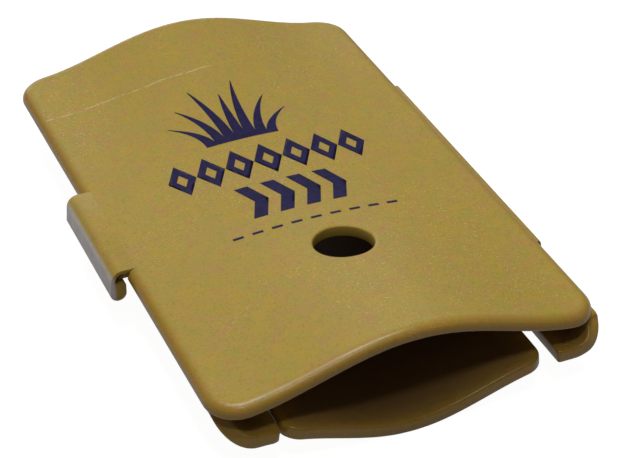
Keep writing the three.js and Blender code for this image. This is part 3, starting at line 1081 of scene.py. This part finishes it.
def make_camera():
    a, e, roll = CAMERA_AZIMUTH, CAMERA_ELEVATION, CAMERA_ROLL
    back = Vector((math.sin(a) * math.cos(e), -math.cos(a) * math.cos(e), math.sin(e)))
    level = Vector((math.cos(a), math.sin(a), 0))
    rise = back.cross(level)
    right = math.cos(roll) * level + math.sin(roll) * rise
    up = math.cos(roll) * rise - math.sin(roll) * level
    place = Vector(AIM) - SLIDE_RIGHT * right - SLIDE_UP * up + CAMERA_DISTANCE * back
    camera = bpy.data.cameras.new("camera")
    camera.lens = LENS
    camera.sensor_width = 36
    camera.clip_start = 0.005
    obj = bpy.data.objects.new("camera", camera)
    matrix = Matrix((right, up, back)).transposed().to_4x4()
    matrix.translation = place * MM
    obj.matrix_world = matrix
    bpy.context.scene.collection.objects.link(obj)
    bpy.context.scene.camera = obj


def area_light(name, place, aim, size, power, tint=(1, 1, 1)):
    light = bpy.data.lights.new(name, "AREA")
    light.shape = "RECTANGLE"
    light.size, light.size_y = size[0] * MM, size[1] * MM
    light.energy = power
    light.color = tint
    obj = bpy.data.objects.new(name, light)
    obj.location = Vector(place) * MM
    obj.rotation_euler = (Vector(aim) - Vector(place)).to_track_quat("-Z", "Y").to_euler()
    bpy.context.scene.collection.objects.link(obj)


def make_floor():
    size = 3000
    steps = 24
    points, polygons = [], []
    for j in range(steps + 1):
        for i in range(steps + 1):
            points.append((size * (i / steps - 0.5), size * (j / steps - 0.5), 0.0))
    for j in range(steps):
        for i in range(steps):
            a = j * (steps + 1) + i
            polygons.append((a, a + 1, a + steps + 2, a + steps + 1))
    floor = mesh_object("pale_floor", points, polygons)
    n = Nodes("pale_floor")
    n.link(n.mix(n.noise(0.01, 2, 0.5), FLOOR_TONE, FLOOR_TONE_WARM), n.shader.inputs["Base Color"])
    n.shader.inputs["Roughness"].default_value = 0.9
    n.shader.inputs["Specular IOR Level"].default_value = 0.0
    glow = n.add("ShaderNodeEmission")
    glow.inputs["Color"].default_value = (1, 1, 1, 1)
    seen = n.add("ShaderNodeLightPath")
    glossy = n.maths("MULTIPLY", seen.outputs["Is Glossy Ray"], FLOOR_MIRRORED)
    direct = n.maths("MULTIPLY", seen.outputs["Is Camera Ray"], FLOOR_GLOW)
    n.link(n.maths("ADD", direct, glossy), glow.inputs["Strength"])
    both = n.add("ShaderNodeAddShader")
    n.link(n.shader.outputs[0], both.inputs[0])
    n.link(glow.outputs[0], both.inputs[1])
    n.link(both.outputs[0], n.tree.nodes["Material Output"].inputs["Surface"])
    paint(floor, n.material)


def make_world():
    """Dim to the object, and white where the camera looks past the floor."""
    world = bpy.data.worlds.new("studio")
    bpy.context.scene.world = world
    world.use_nodes = True
    tree = world.node_tree
    dim = tree.nodes["Background"]
    dim.inputs["Color"].default_value = WORLD_TINT
    dim.inputs["Strength"].default_value = WORLD_STRENGTH
    white = tree.nodes.new("ShaderNodeBackground")
    white.inputs["Color"].default_value = (1, 1, 1, 1)
    seen = tree.nodes.new("ShaderNodeLightPath")
    mix = tree.nodes.new("ShaderNodeMixShader")
    tree.links.new(seen.outputs["Is Camera Ray"], mix.inputs[0])
    tree.links.new(dim.outputs[0], mix.inputs[1])
    tree.links.new(white.outputs[0], mix.inputs[2])
    tree.links.new(mix.outputs[0], tree.nodes["World Output"].inputs["Surface"])


FLOOR_TONE = (0.2, 0.19, 0.185)
FLOOR_TONE_WARM = (0.21, 0.2, 0.19)
FLOOR_GLOW = 0.96
FLOOR_MIRRORED = 0.5
WORLD_TINT = (0.85, 0.82, 1.0, 1)
WORLD_STRENGTH = 0.12
KEY_POWER = 1.95
GLINT_POWER = 0.45
BACK_POWER = 0.4


def make_light():
    make_world()
    area_light("key", (-20, 70, 600), (0, 0, 5), (240, 160), KEY_POWER)
    area_light("front_glint", (-95, -250, 540), (0, 0, 5), (70, 70), GLINT_POWER)
    area_light("back_strip", (60, 520, 120), (0, 0, 8), (420, 90), BACK_POWER)


def make_object():
    paint(make_cover(), cover_material())
    dished = lower_material()
    for piece in (make_base(), make_tongue()):
        paint(piece, dished)
    paint(make_latch(), latch_material())
    plastic = moulding_material("tan_moulding")
    for piece in (make_catch(), make_film()):
        paint(piece, plastic)
    paint(make_band(), latex_material())
    navy = ink_material()
    for piece in make_print():
        paint(piece, navy)


bpy.context.scene.view_settings.view_transform = "Standard"
make_camera()
make_floor()
make_light()
make_object()
